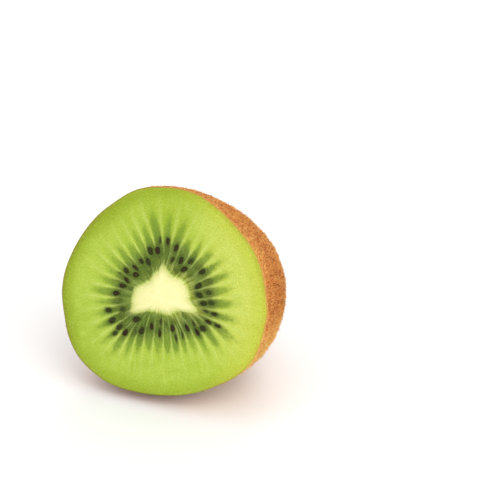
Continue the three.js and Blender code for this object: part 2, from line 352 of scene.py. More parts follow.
    # seeds: dark halo in the jelly
    halo = np.zeros_like(r)
    film = np.zeros_like(r)
    for (sd, sr, sl, sw, turned, show) in SEEDS:
        sv, sw_ = sr * math.cos(math.radians(sd)), sr * math.sin(math.radians(sd))
        th = math.radians(sd + turned)
        ca, sa = math.cos(th), math.sin(th)
        dv, dw = v - sv, w - sw_
        p, q = (dv * ca + dw * sa) / (sl * 0.5), (-dv * sa + dw * ca) / (sw * 0.5)
        e = np.sqrt(p * p + q * q)
        rough = e + 0.22 * noise3(pts * 1.4, 23)
        halo = np.maximum(halo, smooth(2.10, 0.85, rough) * (0.84 + 0.16 * show))
        halo = np.maximum(halo, 0.18 * smooth(3.3, 1.5, rough))
        if show > 0.45:
            film = np.maximum(film, smooth(1.5, 0.9, e))
    rim_r = cut_outline(np.radians(phi))
    edge = smooth(rim_r - 4.6, rim_r - 0.6, r + 0.5 * noise3(pts * 0.35, 18))
    rimline = smooth(rim_r - 1.6, rim_r - 0.25, r)
    return dict(r=r, phi=phi, d=d, core=core, pocket=pocket, wall=wall, fibre=fibre, inner=inner, rays=rays,
                halo=halo, film=film, edge=edge, rimline=rimline, x=x, pts=pts, tone=tone, depth=np.clip(-d_soft / 3.0, 0, 1),
                fringe=smooth(3.0, 0.2, np.abs(d_soft - 0.3)), flow=flow, lines=lines, corner=corner,
                wall_cos=np.cos(phase), wall_sin=np.sin(phase), cell=cell)


def face_height(m):
    """Relief of the cut face in mm, raised positive."""
    p = m["pts"]
    h = 0.15 * m["core"] + 0.03 * fractal(p * 0.9, 3, 70) * (1 - m["core"] * 0.4)
    h += 0.05 * fractal(p * 0.13, 2, 75)
    h += 0.012 * fractal(p * 2.6, 2, 78)
    h -= 0.22 * np.maximum(m["pocket"], 0.6 * m["inner"]) * smooth(19, 11, m["r"])
    h += 0.12 * m["wall"] * smooth(20, 12, m["r"])
    h += 0.07 * (m["fibre"] - 0.5) * m["inner"]
    h += 0.05 * m["film"] * (1 - m["core"])
    h += 0.02 * m["rays"]
    return h


# ---- flesh: cut face, soft edge and a hidden back --------------------------------------------
RIM_ROUND = 0.35        # the knife leaves a crisp edge
SKIN_FROM = 0.14        # the skin starts this far behind the cut plane
SKIN_THICK = 0.30


def skin_cut(phi):
    """Thickness of the skin's cut edge, thinner below where the skin turns under."""
    return SKIN_THICK * (1 - 0.74 * bump(around(np.degrees(phi), 290), 48))


def make_flesh():
    seg = 768
    phi = 2 * np.pi * np.arange(seg) / seg
    R = cut_outline(phi)
    fixed = np.concatenate([np.linspace(0.5, 3.6, 8, endpoint=False), np.linspace(3.6, 17.6, 84, endpoint=False)])
    outer = np.linspace(0, 1, 26)
    rings = []
    face_edge = R - RIM_ROUND
    for r0 in fixed:
        rings.append((np.full(seg, r0), np.zeros(seg), 1.0))
    for s in outer:
        rings.append((17.6 + (face_edge - 17.6) * s, np.zeros(seg), 1.0))
    turn = RIM_ROUND - skin_cut(phi) * 0.7
    for deg in (12, 24, 36, 48, 60, 72, 84):
        a = math.radians(deg)
        rings.append((face_edge + turn * math.sin(a), np.full(seg, RIM_ROUND * (1 - math.cos(a))), 0.6))
    for u0, inset in ((0.8, 0.30), (2.0, 1.0), (2.2, 2.6)):
        rings.append((R - inset, np.full(seg, u0), 0.0))
    rr = np.array([x[0] for x in rings])
    uu = np.array([x[1] for x in rings])
    on_face = np.array([x[2] for x in rings])
    V, W = rr * np.cos(phi), rr * np.sin(phi)
    v = np.concatenate([[0.0], V.ravel(), [0.0]])
    w = np.concatenate([[0.0], W.ravel(), [0.0]])
    u = np.concatenate([[0.0], uu.ravel(), [2.4]])
    k = np.concatenate([[1.0], np.repeat(on_face, seg), [0.0]])
    m = face_pattern(v, w)
    h = face_height(m)
    rim_r = cut_outline(np.radians(m["phi"]))
    near_rim = smooth(rim_r - 1.2, rim_r - 0.3, m["r"])
    h = h * (1 - near_rim * 0.75) + 0.05 * near_rim * fractal(np.stack([v, w, u], -1) * 0.7, 3, 81)
    # the knife's edge pulls the flesh in a little just inside the skin
    h -= 0.10 * smooth(rim_r - 3.0, rim_r - 0.9, m["r"])
    u = u - h * np.where(k > 0, 1.0, 0.0)
    quads, tris = revolve_faces(len(rings), seg, 0, len(v) - 1, flip=False)
    obj = build_mesh("flesh", to_frame(v, w, u), quads, tris)
    for key in ("core", "pocket", "wall", "fibre", "inner", "rays", "halo", "edge", "tone", "depth", "fringe",
                "rimline", "lines", "corner", "wall_cos", "wall_sin", "cell"):
        attribute(obj, key, m[key])
    attribute(obj, "dist", m["r"] / 26.0)
    attribute(obj, "polar", np.stack([m["flow"][:, 0] * 10, m["flow"][:, 1] * 10, m["r"] * 0.1], -1))
    attribute(obj, "plane", np.stack([v, w, u], -1) * 0.1)
    return obj


# ---- skin -------------------------------------------------------------------------------------
def under_fuzz(u):
    """How far the bare skin lies inside the fruit's outline, which is the middle of its fuzz."""
    return 0.12 * smooth(SKIN_FROM, SKIN_FROM + 0.5, u) + 0.50 * smooth(SKIN_FROM + 0.2, SKIN_FROM + 5.0, u)


def skin_relief(share, phi, v, w, u):
    """Wrinkles, pores and the stem scar in mm along the normal, with masks for the colour."""
    p = np.stack([v, w, u], -1)
    r = share * FACE_RADIUS
    one = np.ones_like(r)

    def round_noise(turns, across, seed):
        return noise3(np.stack([np.cos(phi) * turns, np.sin(phi) * turns, r * across], -1), seed)

    wr = fractal(p * np.array([0.55, 0.55, 0.35]), 3, 100)
    fine = fractal(p * 1.7, 3, 110)
    h = 0.07 * wr + 0.035 * fine
    # gentle long furrows toward the stem end
    ang = np.stack([np.cos(phi) * 3.2, np.sin(phi) * 3.2, u * 0.04], -1)
    h += 0.10 * fractal(ang, 2, 120) * smooth(0, 8, u)
    # stem scar: an uneven folded ring with broken grooves on both sides, and a rough button
    near = smooth(13.0, 10.0, r)
    warp = 0.75 * round_noise(0.9, 0.10, 130) + 0.40 * round_noise(2.3, 0.2, 131) + 0.16 * noise3(p * 1.1, 132)
    rr = r + warp
    fold = np.clip(0.62 + 0.75 * round_noise(1.6, 0.0, 133), 0.12, 1.25)
    ring = bump(rr - 6.75, 0.50) * fold
    crest = bump(rr - 6.0 - 0.35 * round_noise(1.8, 0.0, 137), 0.26) * np.clip(0.35 + 0.9 * round_noise(2.2, 0.0, 138), 0, 1)
    lip = bump(rr - 7.75, 0.34) * np.clip(0.45 + 0.9 * round_noise(2.0, 0.0, 139), 0, 1)
    outer_groove = bump(rr - 8.45, 0.50) * np.clip(0.55 + 0.8 * round_noise(1.9, 0.0, 134), 0.05, 1.2)
    mid_groove = bump(rr - 7.3, 0.28) * np.clip(0.4 + 1.0 * round_noise(2.6, 0.0, 135), 0, 1.2)
    groove = bump(rr - 5.25, 0.52) * np.clip(0.70 + 0.8 * round_noise(2.1, 0.0, 136), 0.10, 1.4)
    button = smooth(4.9, 3.7, rr)
    # a hooked furrow and a frayed knot of fibres in the button's middle
    hook_r = r - (1.9 + 0.25 * np.sin(2 * phi + 0.5))
    hook = bump(hook_r, 0.20) * smooth(-0.75, -0.15, np.cos(phi - 2.6))
    knot_x, knot_y = r * np.cos(phi) - 0.5, r * np.sin(phi) + 0.6
    knot = np.exp(-(knot_x ** 2 + knot_y ** 2) / 1.1)
    lumps = fractal(p * 0.95, 3, 140)
    h += 0.62 * ring + 0.40 * crest + 0.30 * lip - 0.34 * outer_groove - 0.36 * mid_groove - 0.85 * groove
    h += button * (0.34 + 0.34 * lumps + 0.10 * fractal(p * 2.6, 2, 144)) - 0.42 * hook
    h += knot * (0.22 + 0.22 * noise3(np.stack([knot_x * 4.0, knot_y * 1.3, one], -1), 141))
    # puckers running across the ring and out from it
    pleat = fractal(np.stack([np.cos(phi) * 5.0, np.sin(phi) * 5.0, r * 0.10], -1), 2, 150)
    fine_pleat = fractal(np.stack([np.cos(phi) * 11.0, np.sin(phi) * 11.0, r * 0.16], -1), 2, 155)
    h += near * smooth(5.0, 6.4, rr) * (0.20 * pleat + 0.09 * fine_pleat)
    h += near * 0.07 * fractal(p * 2.4, 2, 158)
    crater = smooth(12.5, 6.0, r)
    scar = dict(ring=np.clip(0.9 * ring + crest + lip, 0, 1),
                dark=np.clip(0.9 * groove + 0.9 * outer_groove + 0.9 * mid_groove + 0.9 * hook, 0, 1),
                button=button, crater=crater, knot=knot)
    return h, scar


def grid_normals(P):
    """Normals of a (rings, segments, 3) surface, closed round the segments."""
    dr = np.gradient(P, axis=0)
    ds = (np.roll(P, -1, axis=1) - np.roll(P, 1, axis=1)) / 2
    n = np.cross(ds, dr)
    n /= np.maximum(np.linalg.norm(n, axis=-1, keepdims=True), 1e-9)
    return n


def meridian_turns(phi, marks, u_start):
    """Profile parameter on each meridian, evenly by length: marks run from 0 where the depth is
    u_start behind the cut plane to 1 at the stem end. Gives (len(marks), len(phi))."""
    t = np.concatenate([np.geomspace(1e-6, 0.05, 500), np.linspace(0.05, np.pi / 2 - 1e-4, 1100)[1:]])
    T, PH = np.meshgrid(t, phi, indexing="ij")
    v, w, u = body(np.cos(T) ** (2 / SHOULDER), PH)
    step = np.hypot(np.diff(np.hypot(v, w), axis=0), np.diff(u, axis=0))
    arc = np.concatenate([np.zeros((1, len(phi))), np.cumsum(step, axis=0)])
    out = np.zeros((len(marks), len(phi)))
    for j in range(len(phi)):
        first = np.interp(u_start, u[:600, j], arc[:600, j])
        out[:, j] = np.interp(first + np.asarray(marks) * (arc[-1, j] - first), arc[:, j], t)
    return out


def make_skin():
    seg = 420
    phi = 2 * np.pi * np.arange(seg) / seg
    marks = np.concatenate([np.linspace(0, 0.76, 100, endpoint=False), np.linspace(0.76, 0.994, 68)])
    T = meridian_turns(phi, marks, SKIN_FROM + 0.22)
    S = np.cos(T) ** (2 / SHOULDER)
    PH = np.repeat(phi[None], len(marks), 0)
    V, W, U = body(S, PH)
    P = np.stack([V, W, U], -1)
    N = grid_normals(P)
    if N[20, 0] @ np.array([1, 0, 0.0]) < 0:
        N = -N
    h, scar = skin_relief(S.ravel(), PH.ravel(), V.ravel(), W.ravel(), U.ravel())
    fade = smooth(SKIN_FROM, SKIN_FROM + 2.5, U.ravel())
    P = P + N * (h * (0.15 + 0.85 * fade) - under_fuzz(U.ravel())).reshape(S.shape)[..., None]
    # the cut edge of the skin, then a hidden wall and back behind the flesh
    edge_u = SKIN_FROM + 0.04 * fractal(np.stack([np.cos(phi) * 6, np.sin(phi) * 6, 0 * phi], -1), 3, 160)
    R = cut_outline(phi)
    lead = []
    thick = skin_cut(phi)
    for inset, du in ((3.2, 3.4), (1.2, 2.0), (thick, 0.25), (thick * 0.85, 0.04),
                      (thick * 0.5, 0.0), (thick * 0.16, 0.03), (0.01, 0.10)):
        lead.append(np.stack([(R - inset) * np.cos(phi), (R - inset) * np.sin(phi), edge_u + du], -1))
    lead = np.array(lead)
    P = np.concatenate([lead, P])
    n_lead = len(lead)
    pole_in = np.array([0.0, 0.0, 4.2])
    tip = P[-1].mean(0)
    pts = np.concatenate([[pole_in], P.reshape(-1, 3), [tip]])
    co = to_frame(pts[:, 0], pts[:, 1], pts[:, 2])
    co[:, 2] = np.maximum(co[:, 2], 0.0)
    quads, tris = revolve_faces(len(P), seg, 0, len(pts) - 1, flip=False)
    obj = build_mesh("skin", co, quads, tris)

    def on_all(values, lead_value):
        full = np.concatenate([np.full((n_lead, seg), lead_value), values.reshape(S.shape)]).ravel()
        return np.concatenate([[lead_value], full, [full[-1]]])

    for key, val in scar.items():
        attribute(obj, "scar_" + key, on_all(val, 0.0))
    attribute(obj, "relief", on_all(h, 0.0))
    attribute(obj, "plane", pts * 0.1)
    attribute(obj, "cut", on_all(np.zeros(S.size), 1.0))
    attribute(obj, "share", on_all(S.ravel(), 1.0))
    ang = np.concatenate([[0.0], np.tile(phi, len(P)), [0.0]])
    attribute(obj, "polar", np.stack([np.cos(ang) * 10, np.sin(ang) * 10, pts[:, 2] * 0.1], -1))
    return obj


# ---- seeds ------------------------------------------------------------------------------------
def make_seeds():
    nu, nv = 18, 14
    verts, quads, tris, shade, crown, veil = [], [], [], [], [], []
    base = 0
    local = np.random.default_rng(7)
    for (sd, sr, sl, sw, turn, show) in SEEDS:
        if show < 0.45:
            continue
        j = np.arange(nu) * 2 * np.pi / nu
        th = np.linspace(0, np.pi, nv + 2)[1:-1]
        a = np.cos(th)                                        # -1 inner end .. 1 outer end
        prof = np.sin(th) ** 0.95 * (1 + 0.20 * a) * (1 - 0.22 * (a < -0.3) * (-a - 0.3) / 0.7)
        L, Wd, T = sl * 0.53, sw * 0.54, sw * 0.42
        A, J = np.meshgrid(a, j, indexing="ij")
        Pf = np.repeat(prof[:, None], nu, 1)
        x = A * L
        y = Pf * np.cos(J) * Wd
        z = Pf * np.sin(J) * T
        pts = np.concatenate([[[L * 1.02, 0, 0]], np.stack([x, y, z], -1).reshape(-1, 3), [[-L * 1.10, 0, 0]]])
        ridg = 1 + 0.035 * fractal(pts * 4.5 + 11.0 * base, 2, 200)
        pts[:, 1] *= ridg
        pts[:, 2] *= ridg
        roll, pitch = local.normal(0, 0.35), local.normal(0, 0.10)
        cr, sr_ = math.cos(roll), math.sin(roll)
        pts = pts @ np.array([[1, 0, 0], [0, cr, sr_], [0, -sr_, cr]])
        cp, sp = math.cos(pitch), math.sin(pitch)
        pts = pts @ np.array([[cp, 0, sp], [0, 1, 0], [-sp, 0, cp]])
        ang = math.radians(sd + turn)
        ca, sa = math.cos(ang), math.sin(ang)
        cv, cw = sr * math.cos(math.radians(sd)), sr * math.sin(math.radians(sd))
        m = face_pattern(np.array([cv]), np.array([cw]))
        top = face_height(m)[0]
        sink = T * (0.42 + 0.45 * (1 - show))                  # how deep its middle lies
        v = cv + pts[:, 0] * ca - pts[:, 1] * sa
        w = cw + pts[:, 0] * sa + pts[:, 1] * ca
        u = -top + sink - pts[:, 2]
        verts.append(to_frame(v, w, u))
        q, t = revolve_faces(nv, nu, 0, nv * nu + 1)
        quads.append(q + base)
        tris.append(t + base)
        shade.append(np.full(len(pts), local.random()))
        crown.append(np.clip(pts[:, 2] / T, 0, 1))
        veil.append(np.full(len(pts), 1 - show))
        base += len(pts)
    obj = build_mesh("seeds", np.concatenate(verts), np.concatenate(quads), np.concatenate(tris))
    attribute(obj, "shade", np.concatenate(shade))
    attribute(obj, "crown", np.concatenate(crown))
    attribute(obj, "veil", np.concatenate(veil))
    return obj


# ---- fuzz: tapered hairs, each a closed spike, the bristles with a bend -----------------------
def surface_frames(share, phi):
    """Point, normal, tangent to the stem end and tangent round the fruit, in (v, w, u) mm."""
    e = 1e-3
    p = np.stack(body(share, phi), -1)
    ps = np.stack(body(np.clip(share - e, 1e-4, 1), phi), -1)
    pf = np.stack(body(share, phi + e), -1)
    tu = ps - p
    tf = pf - p
    tu /= np.maximum(np.linalg.norm(tu, axis=1, keepdims=True), 1e-12)
    tf -= tu * (tf * tu).sum(1, keepdims=True)
    tf /= np.maximum(np.linalg.norm(tf, axis=1, keepdims=True), 1e-12)
    n = np.cross(tf, tu)
    out = p - np.array([0, 0, 8.0])
    n[(n * out).sum(1) < 0] *= -1
    return p, n, tu, tf


def scatter_on_skin(count, gen, density=None):
    """Random places on the skin, even by area, as (share, phi)."""
    ph = np.linspace(0, 2 * np.pi, 241)
    T = meridian_turns(ph, np.linspace(0, 1, 200), SKIN_FROM + 0.12)
    PH = np.repeat(ph[None], len(T), 0)
    P = np.stack(body(np.cos(T) ** (2 / SHOULDER), PH), -1)
    c = np.cross(P[1:, :-1] - P[:-1, :-1], P[:-1, 1:] - P[:-1, :-1])
    area = np.linalg.norm(c, axis=-1)
    if density is not None:
        Tm, Pm = (T[1:, :-1] + T[:-1, :-1]) / 2, (PH[:-1, 1:] + PH[:-1, :-1]) / 2
        area = area * density(np.cos(Tm) ** (2 / SHOULDER), Pm)
    cum = np.cumsum(area.ravel())
    pick = np.searchsorted(cum, gen.random(count) * cum[-1])
    i, j = np.unravel_index(np.clip(pick, 0, area.size - 1), area.shape)
    tt = T[i, j] + gen.random(count) * (T[i + 1, j] - T[i, j])
    pp = ph[j] + gen.random(count) * (ph[1] - ph[0])
    return np.cos(tt) ** (2 / SHOULDER), pp


def make_tufts(count, seed):
    """Places on the skin that the hairs round them lean together over: points, directions, shades."""
    gen = np.random.default_rng(seed)
    share, phi = scatter_on_skin(count, gen)
    p, n, tu, tf = surface_frames(share, phi)
    r = share * FACE_RADIUS
    flow = 1.2 * fractal(p * 0.05, 2, 300) + 0.7 * noise3(p * 0.30, 320) + gen.normal(0, 0.36, count)
    flow *= 1 - 0.75 * smooth(13, 8, r)                          # beside the scar they lean toward it
    el = np.radians(gen.uniform(14, 40, count))
    way = (tu * np.cos(flow)[:, None] + tf * np.sin(flow)[:, None]) * np.cos(el)[:, None] + n * np.sin(el)[:, None]
    tree = KDTree(count)
    for k, q in enumerate(p):
        tree.insert(q, k)
    tree.balance()
    return dict(p=p, way=way, shade=gen.random(count), tree=tree)


def make_hairs(name, count, length, radius, lift, seed, tufts, density=None, spread=0.5, curl=0.4, gather=0.45, stray=0.0,
               bent=True):
    """Tapered closed spikes: bent ones have 10 triangles each, straight ones 4."""
    gen = np.random.default_rng(seed)
    share, phi = scatter_on_skin(count, gen, density)
    n_h = len(share)
    p, n, tu, tf = surface_frames(share, phi)
    r = share * FACE_RADIUS
    h = skin_relief(share, phi, p[:, 0], p[:, 1], p[:, 2])[0]
    skin_p = p + n * (h * (0.15 + 0.85 * smooth(SKIN_FROM, SKIN_FROM + 2.5, p[:, 2])) - under_fuzz(p[:, 2]))[:, None]
    mine = np.array([tufts["tree"].find(q)[1] for q in p])
    # each hair's own way, turned from its tuft's
    L = length[0] + (length[1] - length[0]) * gen.beta(2.0, 2.6, n_h)
    L *= 0.80 + 0.4 * (0.5 + 0.5 * noise3(p * 0.5, 310))
    L *= 1 - 0.45 * smooth(7.5, 5.0, r)
    L *= 0.50 + 0.50 * smooth(0.0, 3.0, p[:, 2])                 # shorter where the knife went through
    under = bump(around(np.degrees(phi), 294), 40) * smooth(4.5, 0.8, p[:, 2])
    L *= 1 - 0.75 * under
    rad = radius * (0.7 + 0.6 * gen.random(n_h))
    way = tufts["way"][mine]
    flat = way - n * (way * n).sum(1, keepdims=True)
    flat /= np.maximum(np.linalg.norm(flat, axis=1, keepdims=True), 1e-9)
    side = np.cross(n, flat)
    turn = gen.normal(0, spread, n_h)
    along = flat * np.cos(turn)[:, None] + side * np.sin(turn)[:, None]
    el = np.radians(gen.uniform(lift[0], lift[1], n_h)) * (0.45 + 0.55 * smooth(0.0, 2.5, p[:, 2]))
    el = np.where(gen.random(n_h) < stray, np.radians(gen.uniform(45, 75, n_h)), el)
    d0 = along * np.cos(el)[:, None] + n * np.sin(el)[:, None]
    root = skin_p - n * 0.05
    # tips are drawn together over the tuft's middle
    goal = tufts["p"][mine] + way * L[:, None] * 0.9
    pull = goal - (root + d0 * L[:, None])
    d0 = d0 + pull * (gather / L)[:, None]
    d0 += n * np.clip(0.10 - (d0 * n).sum(1), 0, None)[:, None]
    d0 /= np.linalg.norm(d0, axis=1, keepdims=True)
    e1 = np.cross(d0, n)
    e1 /= np.maximum(np.linalg.norm(e1, axis=1, keepdims=True), 1e-9)
    e2 = np.cross(d0, e1)
    nv = 7 if bent else 4
    verts = np.zeros((n_h, nv, 3))
    if bent:
        bend = gen.normal(-0.30, curl, n_h)
        swing = gen.normal(0, curl, n_h)
        d1 = d0 + n * (bend * 0.9)[:, None] + side * swing[:, None]
        d1 /= np.linalg.norm(d1, axis=1, keepdims=True)
        low = (d1 * n).sum(1)
        d1 += n * np.clip(0.06 - low, 0, None)[:, None]
        d1 /= np.linalg.norm(d1, axis=1, keepdims=True)
        mid = root + d0 * (L * 0.5 + 0.06)[:, None]
        verts[:, 6] = mid + d1 * (L * 0.5)[:, None]
        along_at = np.array([0, 0, 0, .5, .5, .5, 1.0])
    else:
        verts[:, 3] = root + d0 * (L + 0.06)[:, None]
        along_at = np.array([0, 0, 0, 1.0])
    for k in range(3):
        a = 2 * math.pi * k / 3
        o = (e1 * math.cos(a) + e2 * math.sin(a)) * rad[:, None]
        verts[:, k] = root + o
        if bent:
            verts[:, 3 + k] = mid + o * 0.8
    flat_v = verts.reshape(-1, 3)
    co = to_frame(flat_v[:, 0], flat_v[:, 1], flat_v[:, 2])
    co[:, 2] = np.maximum(co[:, 2], 0.00001)
    co = co.reshape(n_h, nv, 3)
    keep = ~(co[:, 2:, 2].max(1) < 0.0006)                      # none squashed under the resting spot
    keep &= r > 0.3
    co = co[keep]
    patch = 0.5 + 0.5 * noise3(p * 0.6, 330)
    # lighter and yellower hairs low on the right, partly painted light to brighten hairs that face down and get less
    # light
    low_right = smooth(4, -12, p[:, 1]) * smooth(2, 13, p[:, 0])     # lighter and yellower low on the right
    low_right = low_right * (0.35 + 0.65 * smooth(26, 8, p[:, 2]))   # and most of all toward the cut
    # paler hairs near the cut on the right: partly painted light along the lit edge
    by_cut = smooth(7.0, 1.0, p[:, 2]) * smooth(0, 12, p[:, 0])
    deep = bump(p[:, 1] - 5.5, 6.5) * smooth(2.0, 7.0, p[:, 2]) * smooth(4, 14, p[:, 0])
    own = smooth(0.0, 1.0, gen.random(n_h))
    shade = (0.13 * tufts["shade"][mine] + 0.60 * own + 0.09 * patch + np.maximum(0.44 * low_right, 0.09 * by_cut)
             + 0.02 + 0.06 * smooth(3, 12, p[:, 1]) + 0.02 * smooth(14, 22, p[:, 1]) - 0.10 * deep)
    shade = np.clip(shade, 0, 1)[keep]
    n_h = len(co)
    b = np.arange(n_h)[:, None] * nv
    tris = [b + np.array([[0, 2, 1]])]
    if bent:
        quads = np.concatenate([b + np.array([[k, (k + 1) % 3, 3 + (k + 1) % 3, 3 + k]]) for k in range(3)], 1).reshape(-1, 4)
        tris += [b + np.array([[3 + k, 3 + (k + 1) % 3, 6]]) for k in range(3)]
    else:
        quads = None
        tris += [b + np.array([[k, (k + 1) % 3, 3]]) for k in range(3)]
    tris = np.concatenate(tris, 1).reshape(-1, 3)
    obj = build_mesh(name, co.reshape(-1, 3), quads, tris)
    shade = np.repeat(shade, nv)
    attribute(obj, "shade", shade)
    attribute(obj, "along", np.tile(along_at, n_h))
    # plain map by shade and place along the hair, so that a baked texture repeats cleanly
    uv = obj.data.uv_layers.new(name="OFBake")
    idx = np.zeros(len(obj.data.loops), np.int32)
    obj.data.loops.foreach_get("vertex_index", idx)
    along_v = np.tile(0.04 + 0.92 * along_at, n_h)
    uvs = np.stack([0.02 + 0.96 * shade[idx], along_v[idx]], -1).astype(np.float32)
    uv.data.foreach_set("uv", uvs.ravel())
    return obj


# ---- materials --------------------------------------------------------------------------------
def lin(c):
    """sRGB 0-255 to linear RGBA."""
    out = []
    for x in c:
        x = x / 255.0
        out.append(x / 12.92 if x <= 0.04045 else ((x + 0.055) / 1.055) ** 2.4)
    return (*out, 1.0)


class Nodes:
    def __init__(self, name):
        self.mat = bpy.data.materials.new(name)
        self.mat.use_nodes = True
        self.t = self.mat.node_tree
        self.t.nodes.clear()
        self.out = self.t.nodes.new("ShaderNodeOutputMaterial")
        self.bsdf = self.t.nodes.new("ShaderNodeBsdfPrincipled")
        self.t.links.new(self.bsdf.outputs[0], self.out.inputs[0])

    def new(self, kind, **props):
        n = self.t.nodes.new(kind)
        for k, v in props.items():
            setattr(n, k, v)
        return n

    def link(self, a, b):
        self.t.links.new(a, b)

    def put(self, socket, value):
        if isinstance(value, bpy.types.NodeSocket):
            self.link(value, socket)
        else:
            socket.default_value = value

    def attr(self, name, vector=False):
        n = self.new("ShaderNodeAttribute", attribute_name=name)
        return n.outputs["Vector"] if vector else n.outputs["Fac"]

    def noise(self, vec, scale, detail=3.0, rough=0.5, distortion=0.0):
        n = self.new("ShaderNodeTexNoise")
        self.link(vec, n.inputs["Vector"])
        n.inputs["Scale"].default_value = scale
        n.inputs["Detail"].default_value = detail
        n.inputs["Roughness"].default_value = rough
        n.inputs["Distortion"].default_value = distortion
        return n.outputs["Fac"]

    def voronoi(self, vec, scale, feature="F1", out="Distance", random=1.0):
        n = self.new("ShaderNodeTexVoronoi", feature=feature)
        self.link(vec, n.inputs["Vector"])
        n.inputs["Scale"].default_value = scale
        n.inputs["Randomness"].default_value = random
        return n.outputs[out]

    def ramp(self, fac, a, b, lo=0.0, hi=1.0):
        n = self.new("ShaderNodeMapRange", interpolation_type="SMOOTHSTEP")
        self.put(n.inputs["Value"], fac)
        n.inputs["From Min"].default_value = a
        n.inputs["From Max"].default_value = b
        n.inputs["To Min"].default_value = lo
        n.inputs["To Max"].default_value = hi
        return n.outputs["Result"]

    def math(self, op, a, b=0.0, clamp=False):
        n = self.new("ShaderNodeMath", operation=op, use_clamp=clamp)
        self.put(n.inputs[0], a)
        self.put(n.inputs[1], b)
        return n.outputs[0]

    def mix(self, fac, a, b, blend="MIX"):
        n = self.new("ShaderNodeMix", data_type="RGBA", blend_type=blend)
        self.put(n.inputs[0], fac)
        self.put(n.inputs[6], a)
        self.put(n.inputs[7], b)
        return n.outputs[2]

    def bumps(self, parts):
        """Chain of bump nodes from (height, strength, distance in metres)."""
        last = None
        for height, strength, dist in parts:
            n = self.new("ShaderNodeBump")
            n.inputs["Strength"].default_value = strength
            n.inputs["Distance"].default_value = dist
            self.link(height, n.inputs["Height"])
            if last is not None:
                self.link(last, n.inputs["Normal"])
            last = n.outputs["Normal"]
        return last


FACE_LIGHT, FACE_HAZE = 1.10, 0.020       # how bright white shows on the cut face, and its soft gloss
SKIN_LIGHT, SKIN_HAZE = 0.95, 0.010


def seen(c, light=FACE_LIGHT, haze=FACE_HAZE):
    """Surface colour that shows as this sRGB colour under the studio light."""
    return (*[min(0.96, max(0.004, (x - haze) / light)) for x in lin(c)[:3]], 1.0)


def seen_skin(c):
    return seen(c, SKIN_LIGHT, SKIN_HAZE)


